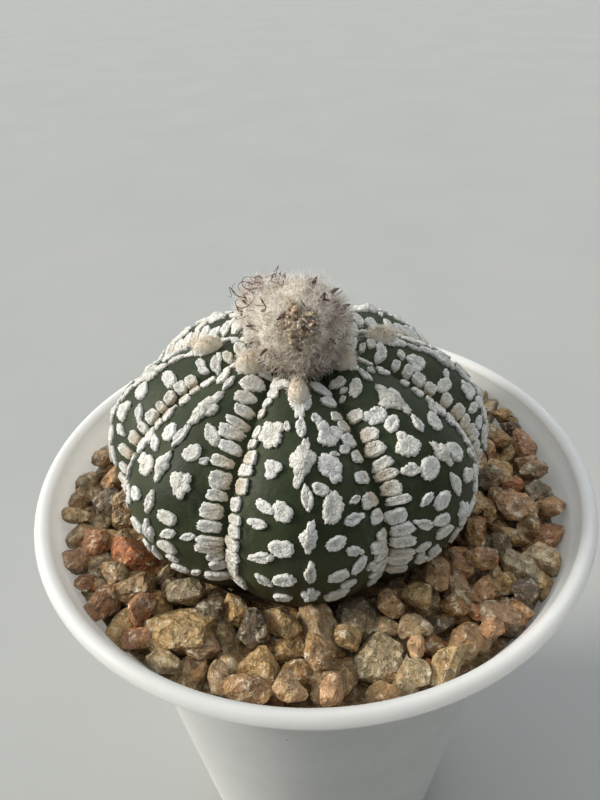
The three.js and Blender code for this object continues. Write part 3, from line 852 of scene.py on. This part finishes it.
def add_strands(pile, rng, roots, directions, lengths, widths, curl, joints=3, tints=0):
    """Thin three-sided tapering hairs, each a random walk that keeps its first direction."""
    count = len(roots)
    place, heading = roots, unit(directions)
    step = (lengths / joints)[:, None]
    turn = rng.normal(0, curl, (count, 3))
    corners = circle(3)[:, None]
    rings = []
    for joint in range(joints):
        side = unit(np.cross(heading, rng.normal(0, 1, (count, 3))))[:, None]
        other = np.cross(heading[:, None], side)
        reach = (widths * (1 - 0.55 * joint / joints) / 2)[:, None, None]
        rings.append(place[:, None] + reach * (side * np.cos(corners) + other * np.sin(corners)))
        place = place + heading * step
        turn = 0.6 * turn + rng.normal(0, curl, (count, 3))
        heading = unit(heading + turn)
    points = np.concatenate([*rings, place[:, None]], 1)
    size = points.shape[1]
    quads = grid_faces(joints, 3)
    hair = np.concatenate([quads[:, :3], quads[:, [0, 2, 3]], fan_faces(size - 4, 3, size - 1), [(2, 1, 0)]])
    faces = (hair + size * np.arange(count)[:, None, None]).reshape(-1, 3)
    share = np.append(np.repeat(np.arange(joints), 3) / joints, 1)
    pile.add(points, [faces], np.repeat(np.broadcast_to(tints, count), size), np.tile(share, count))


def ball_directions(count):
    index = np.arange(count)
    height = 1 - 2 * (index + 0.5) / count
    return polar(np.sqrt(1 - height ** 2), index * GOLDEN_ANGLE, height)


def make_bud(bud):
    """A woolly ball of fine tangled hairs in small tufts over a matted core."""
    hairs, tufts, seed, radius = bud.hairs, bud.tufts, bud.wool_seed, bud.radius
    rng = np.random.default_rng(seed)
    rows, columns = 60, 96
    tilt = np.linspace(-np.pi / 2, np.pi / 2, rows + 2)[1:-1, None]
    ball = polar(np.cos(tilt), circle(columns), np.sin(tilt)).reshape(-1, 3)
    ball = np.concatenate([ball, [(0, 0, -1), (0, 0, 1)]])
    reach = 0.87 * radius * (1 + 0.06 * lumps(ball, 0.35, seed) + 0.04 * lumps(ball, 0.09, seed))
    core = Pile()
    core.add(bud.centre + ball * reach[:, None], capped_faces(rows, columns))
    core.build(bud.name + "_core", core_material(), "bud_wool", ["woolly_" + bud.name])
    outward = unit(ball_directions(hairs) + rng.normal(0, 0.02, (hairs, 3)))
    tuft_places = unit(rng.normal(0, 1, (tufts, 3)))
    tuft_tint = rng.uniform(0, 1, tufts)
    nearest = np.argmax(outward @ tuft_places.T, axis=1)
    sweep = rng.normal(0, 0.55, (tufts, 3))
    heading = outward * rng.uniform(0.3, 0.8, (hairs, 1)) + sweep[nearest]
    heading = unit(heading + rng.normal(0, 0.4, (hairs, 3)))
    roots = bud.centre + outward * radius * rng.uniform(0.8, 0.88, (hairs, 1))
    tuft = tuft_tint[nearest]
    lengths = radius * rng.uniform(0.15, 0.48, hairs) * (0.75 + 0.5 * tuft)
    # Painted shade on the front bud: hairs on the side away from the sun get darker tints. On the rear bud
    # the darker top is the wool's own tone.
    shade_and_tone = np.clip(outward @ bud.shade_and_tone_side, 0, 0.6)
    patch = np.clip(1.8 * lumps(outward, 0.5, seed), 0, 0.5)
    tints = 0.3 * tuft + rng.uniform(-0.25, 0.15, hairs) + shade_and_tone + patch
    wool = Pile()
    widths = rng.uniform(0.045, 0.09, hairs)
    add_strands(wool, rng, roots, heading, lengths, widths, 0.5, tints=np.clip(tints, 0, 1))
    wool.build(bud.name + "_wool", wool_material(), "bud_wool")


def add_scale(pile, rng, root, direction, length, width):
    """A narrow pointed scale, flattened and slightly curved."""
    rows, columns = 6, 6
    side = unit(np.cross(direction, rng.normal(0, 1, 3)))
    face = unit(np.cross(direction, side))
    lean = rng.normal(0, 0.35, 3)
    share = np.linspace(0, 1, rows)[:, None, None]
    turn = circle(columns)[:, None]
    middle = root + length * (direction * share + 0.4 * lean * share ** 2)
    breadth = width * (1 - share) ** 0.7 * (0.6 + 0.8 * share)
    out = side * (breadth + 0.02) * np.cos(turn) + face * (0.3 * breadth + 0.02) * np.sin(turn)
    points = (middle + out / 2).reshape(-1, 3)
    tips = [root - direction * 0.1, points[-1] + direction * 0.05]
    shares = np.append(np.repeat(share, columns), [0, 1])
    pile.add(np.concatenate([points, tips]), capped_faces(rows, columns), rng.uniform(0, 1), shares)


def curl_path(rng, start, direction, length):
    """A stiff dry bristle that curls over in one plane with a slight wave."""
    steps, bend = 14, 7
    axis = unit(np.cross(direction, rng.normal(0, 1, 3)))
    rate = rng.uniform(0.4, 1.0) * bend / steps * rng.choice([-1, 1])
    heading, path = Vector(direction), [start]
    for step in range(steps):
        heading.rotate(Quaternion(axis, rate * (0.3 + 1.4 * step / steps)))
        heading.rotate(Quaternion(rng.normal(0, 1, 3), rng.normal(0, 0.12)))
        path.append(path[-1] + np.array(heading) * length / steps)
    return np.array(path)


def add_wire(pile, path, width, tint):
    """A thin tapering tube along a path."""
    sides = 4
    along = unit(np.gradient(path, axis=0))
    side = unit(np.cross(along, (0.31, 0.62, 0.72)))
    other = np.cross(along, side)
    share = np.linspace(0, 1, len(path))
    turns = circle(sides)[:, None]
    reach = (width / 2 * (1 - 0.7 * share))[:, None, None]
    rings = path[:, None] + reach * (side[:, None] * np.cos(turns) + other[:, None] * np.sin(turns))
    points = np.concatenate([rings.reshape(-1, 3), path[:1], path[-1:]])
    pile.add(points, capped_faces(len(path), sides), tint, np.append(np.repeat(share, sides), [0, 1]))


def make_scales(bud):
    """Brown scale tips among the wool, and dry dark bristles that curl out of it."""
    rng = np.random.default_rng(bud.bristle_seed)
    centre, radius = bud.centre, bud.radius
    pile = Pile()
    for direction in ball_directions(bud.scales):
        heading = unit(direction + rng.normal(0, 0.16, 3))
        for _ in range(3):
            root = centre + heading * radius * 0.92 + rng.normal(0, 0.25, 3)
            lean = unit(heading + rng.normal(0, 0.6, 3))
            add_scale(pile, rng, root, lean, radius * rng.uniform(0.12, 0.22), rng.uniform(0.4, 0.8))
    for _ in range(bud.bristles):
        heading = unit(rng.normal(0, 0.6, 3) + bud.bristle_side)
        lean = unit(heading + rng.normal(0, 0.9, 3))
        path = curl_path(rng, centre + heading * radius * 0.9, lean, rng.uniform(1.7, bud.longest))
        add_wire(pile, path, bud.thickness * rng.uniform(0.8, 1.3), rng.uniform(0, 1))
    pile.build(bud.name + "_scales", bristle_material(), "scale_bristle")


def make_crown_wool():
    """Short wool round the feet of the buds and on the woolly areoles."""
    rng = np.random.default_rng(77)
    pile = Pile()
    count = 1500
    azimuth = rng.uniform(0, 2 * np.pi, count)
    level = level_down(7.6 * np.sqrt(rng.random(count)))
    roots = skin_points(azimuth, level, -0.1)
    heading = unit(skin_points(azimuth, level, 1.0) - roots) + rng.normal(0, 0.5, (count, 3))
    lengths, widths = rng.uniform(1.2, 2.6, count), rng.uniform(0.06, 0.12, count)
    add_strands(pile, rng, roots, heading, lengths, widths, 0.3, tints=rng.uniform(0, 0.3, count))
    count = 420
    for rib in range(RIBS):
        level, (across, along, height) = nub_place(rib)
        azimuth = FRONT_RIB + rib * RIB_STEP
        turn, reach = rng.uniform(0, 2 * np.pi, count), np.sqrt(rng.uniform(0, 0.95, count))
        offsets = polar(reach, turn, 0)[:, :2] * (across, along)
        roots = beside(azimuth, level, offsets, 0.97 * height * np.sqrt(1 - reach ** 2))
        heading = unit(roots - skin_points(azimuth, level, 0.2)) + rng.normal(0, 0.5, (count, 3))
        lengths, widths = rng.uniform(0.4, 0.9, count), rng.uniform(0.04, 0.08, count)
        add_strands(pile, rng, roots, heading, lengths, widths, 0.4, 2, rng.uniform(0.1, 0.7, count))
    pile.build("crown_wool", wool_material(), "bud_wool")


# Withered flower

def add_petal(pile, rng, base, axis, side, length, width):
    """A shrivelled petal: a thin closed strip that curls, twists and crumples."""
    rows, columns = 12, 5
    twist = rng.uniform(-1.8, 1.8)
    curl = rng.uniform(0.3, 1.6) * rng.choice([-1, 1])
    share = np.linspace(0, 1, rows)[:, None, None]
    place = np.linspace(-0.5, 0.5, columns)[:, None]
    across = side * np.cos(twist * share) + np.cross(axis, side) * np.sin(twist * share)
    outward = np.cross(axis, across)
    bend = axis * np.sin(curl * share) + outward * (1 - np.cos(curl * share))
    breadth = width * np.sin(np.pi * (0.18 + 0.78 * share)) ** 0.7
    fold = 0.34 * width * np.cos(2.5 * np.pi * place + 3 * share)
    upper = base + bend * length / curl + across * breadth * place + outward * fold
    upper += rng.normal(0, 0.09, (rows, columns, 3))
    lower = upper - unit(outward) * 0.07
    index = np.arange(rows * columns).reshape(rows, columns)
    quads = np.stack([index[:-1, :-1], index[1:, :-1], index[1:, 1:], index[:-1, 1:]], -1).reshape(-1, 4)
    edge = np.concatenate([index[:, 0], index[-1, 1:], index[-2::-1, -1], index[0, -2:0:-1]])
    after = np.roll(edge, -1)
    rim = np.stack([after, edge, edge + index.size, after + index.size], -1)
    pile.add([upper, lower], [quads, quads[:, ::-1] + index.size, rim], rng.uniform(0, 1),
             np.tile(np.repeat(share, columns), 2))


def make_flower():
    rng = np.random.default_rng(12)
    axis = unit(FLOWER_DIRECTION)
    seat = FRONT_BUD.centre + axis * FRONT_BUD.radius * 0.8
    side = unit(np.cross(axis, (0, 0, 1)))
    up = np.cross(side, axis)
    pile = Pile()
    petals = 48
    for i in range(petals):
        turn = i * GOLDEN_ANGLE
        ring = 2.1 * math.sqrt((i + 0.5) / petals)
        out = 0.8 * side * math.cos(turn) + 1.1 * up * math.sin(turn)
        heading = unit(0.7 * axis + out * rng.uniform(-0.9, 0.5) + rng.normal(0, 0.45, 3))
        across = unit(np.cross(heading, out))
        add_petal(pile, rng, seat + out * ring, heading, across, rng.uniform(1.2, 2.4), rng.uniform(0.5, 1.0))
    pile.build("withered_petals", petal_material(), "dried_petal", ["dried_flower"])
    count = 500
    turn, ring = rng.uniform(0, 2 * np.pi, (count, 1)), 3.2 * np.sqrt(rng.random((count, 1)))
    out = side * np.cos(turn) + up * np.sin(turn)
    heading = axis + out * 0.5 + rng.normal(0, 0.6, (count, 3))
    lengths, widths = rng.uniform(0.8, 2.0, count), rng.uniform(0.05, 0.09, count)
    fluff = Pile()
    add_strands(fluff, rng, seat + out * ring - up * 0.6, heading, lengths, widths, 0.4,
                tints=rng.uniform(0, 0.5, count))
    fluff.build("flower_wool", wool_material(), "bud_wool")


# Grit

def icosphere(level):
    """Unit directions and triangles of a finely divided ball."""
    shape = bmesh.new()
    bmesh.ops.create_icosphere(shape, subdivisions=level, radius=1)
    shape.verts.index_update()
    points = np.array([vertex.co for vertex in shape.verts])
    faces = np.array([[vertex.index for vertex in face.verts] for face in shape.faces])
    shape.free()
    return points, faces


def rock_points(rng, directions, seed):
    """A rough angular pebble of about unit radius: blunted planes, then lumps and pits."""
    planes = 18
    normals = unit(rng.normal(0, 1, (planes, 3)))
    offsets = rng.uniform(0.66, 1.1, planes)
    blunt = rng.uniform(50, 130)
    dots = np.maximum(directions @ normals.T, 0.02) / offsets
    reach = np.minimum((dots ** blunt).sum(1) ** (-1 / blunt), 1.35)
    reach *= 1 + 0.06 * lumps(directions, 0.5, seed) + 0.05 * lumps(directions, 0.16, seed + 0.5, 2)
    return directions * reach[:, None] * rng.uniform((1.0, 0.82, 0.68), (1.45, 1.05, 0.9))


def rest_height(x, y, radius, placed):
    """How low a pebble can lie at a place among those already down."""
    lowest = GRAVEL_FLOOR + 0.9 * radius
    apart = np.hypot(x[:, None] - placed[:, 0], y[:, None] - placed[:, 1])
    touch = 0.84 * (radius + placed[:, 3])
    rise = np.sqrt(np.maximum(touch ** 2 - apart ** 2, 0))
    return np.where(apart < touch, placed[:, 2] + rise, lowest).max(1, initial=lowest)


def pebble_places(rng):
    """Pebbles dropped one by one, each at the lowest of several random places."""
    placed = np.zeros((0, 4))
    for _ in range(PEBBLES):
        radius = np.clip(rng.lognormal(math.log(USUAL_PEBBLE), PEBBLE_SPREAD), *PEBBLE_LIMITS)
        azimuth = rng.uniform(0, 2 * np.pi, TRIES)
        reach = np.sqrt(rng.uniform(*np.square(PEBBLE_RING), TRIES))
        x, y, _ = polar(reach, azimuth, 0).T
        height = rest_height(x, y, radius, placed)
        wall = wall_radius(np.maximum(-height, 0.5)) - POT_WALL
        plant = np.interp(height, CREST[:WIDEST, 1], CREST[:WIDEST, 0])
        from_plant = np.hypot(x - PLANT_X, y)
        heap = 0.5 * np.clip(1 - (from_plant - 27) / 8, 0, 1)
        free = (reach + 0.82 * radius < wall) & (from_plant - 0.72 * radius > plant)
        free &= height + 0.8 * radius < -0.5 + heap
        if free.any():
            best = np.argmin(np.where(free, height, 99))
            placed = np.vstack([placed, (x[best], y[best], height[best], radius)])
    return placed


def inside_wall(points):
    """The points, with those beyond the pot's inner wall pushed back to it."""
    depth = np.maximum(RIM_Z - points[:, 2:], 0.8 * RIM_BEAD)
    reach = np.hypot(points[:, :1], points[:, 1:2])
    limit = wall_radius(depth) - POT_WALL - 0.05
    return np.hstack([points[:, :2] * np.minimum(1, limit / reach), points[:, 2:]])


def make_grit():
    rng = np.random.default_rng(5)
    material = granite_material()
    places = pebble_places(rng)
    hidden, coarse, fine = [icosphere(level) for level in (2, 3, 4)]
    large, small = Pile(), Pile()
    for i, (x, y, z, radius) in enumerate(places):
        apart = np.hypot(places[:, 0] - x, places[:, 1] - y)
        covered = ((apart < 0.7 * places[:, 3]) & (places[:, 2] > z + 1)).any()
        big = radius > BIG_PEBBLE and not covered
        directions, faces = hidden if covered else fine if big else coarse
        shape = rock_points(rng, directions, 3.7 * i)
        tumble = Quaternion(unit(rng.normal(0, 1, 3)), rng.uniform(0, 0.7))
        turn = tumble @ Quaternion((0, 0, 1), rng.uniform(0, 6.28))
        shape = shape @ np.array(turn.to_matrix()).T
        pile = large if big else small
        pile.add(inside_wall(shape * radius + (x, y, z + RIM_Z)), [faces], rng.uniform(0, 1))
    large.build("grit_large", material, "granite_grit", ["gravel_topping"], smooth=False)
    small.build("grit_small", material, "granite_grit", smooth=False)
    make_bed(material)


def make_bed(material):
    """The grit under the loose pebbles, as an uneven ring."""
    around, across = 220, 14
    azimuth = circle(around)
    floor = RIM_Z + GRAVEL_FLOOR
    radii = np.linspace(20, wall_radius(-GRAVEL_FLOOR) - POT_WALL - 0.3, across)
    top = polar(radii[:, None], azimuth, 0).reshape(-1, 3)
    top[:, 2] = floor + 0.7 + 0.5 * lumps(top, 2.2, 3)
    points = np.concatenate([polar(radii[0], azimuth, floor), top, polar(radii[-1], azimuth, floor)])
    faces = grid_faces(across + 3, around)[:, ::-1] % len(points)
    pile = Pile()
    pile.add(points, [faces], 0.55)
    pile.build("grit_bed", material, "granite_grit")


def dress_soil():
    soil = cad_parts["potting_soil"]
    soil.data.materials.clear()
    soil.data.materials.append(soil_material())


add_camera()
add_floor()
add_light()
make_pot()
dress_soil()
make_grit()
make_skin()
make_felt()
make_nubs()
make_bud(FRONT_BUD)
make_bud(REAR_BUD)
make_scales(FRONT_BUD)
make_scales(REAR_BUD)
make_crown_wool()
make_flower()
